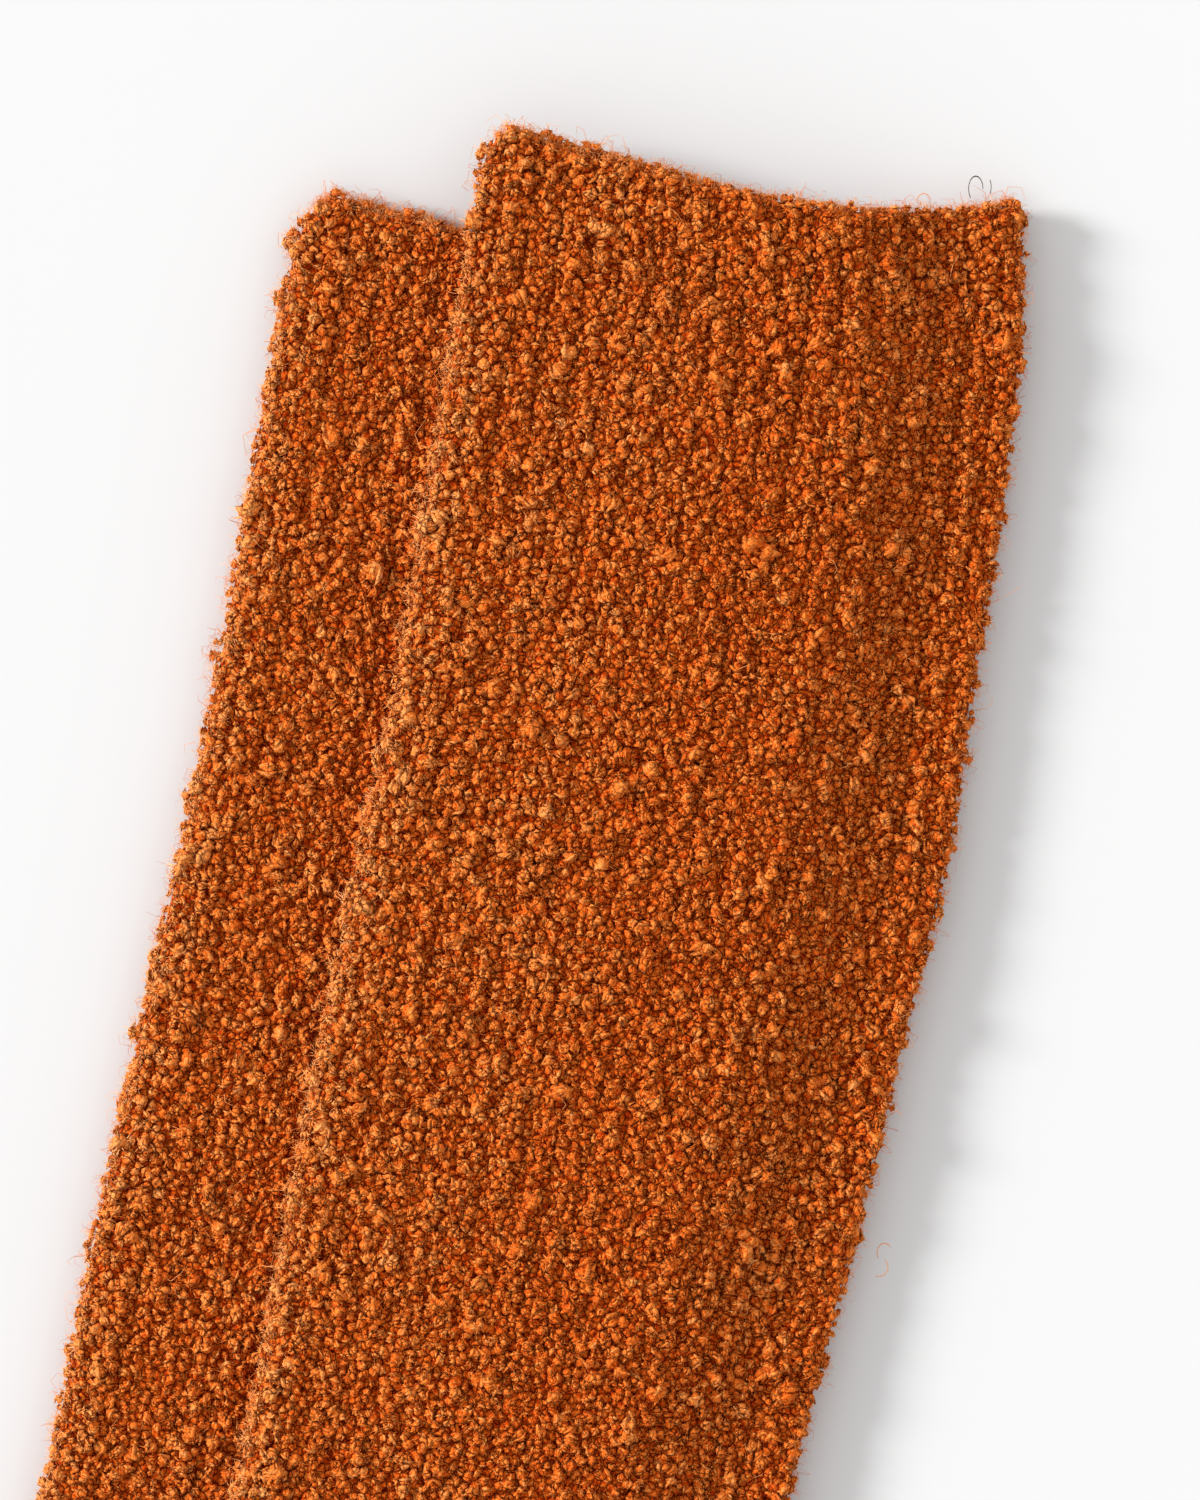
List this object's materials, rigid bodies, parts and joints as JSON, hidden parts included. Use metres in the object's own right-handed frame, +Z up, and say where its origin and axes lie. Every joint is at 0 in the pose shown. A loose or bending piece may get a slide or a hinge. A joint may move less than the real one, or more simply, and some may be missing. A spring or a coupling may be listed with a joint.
{
  "type": "pair of wool socks",
  "caption": "Long ribbed socks of curly wool knit, laid flat one over the other, with open cuffs, turned heels and closed toes.",
  "frame": {"origin": "on the table, under the middle of the pair's bounding box", "axes": "+Y along the legs towards the cuffs, +X towards the heels, +Z up from the table"},
  "size_m": [0.312, 0.3984, 0.0146],
  "materials": {
    "wool": "fuzzy curly wool knit, rust orange"
  },
  "bodies": {
    "root": {"sock_over": "wool", "sock_under": "wool"}
  },
  "joints": []
}
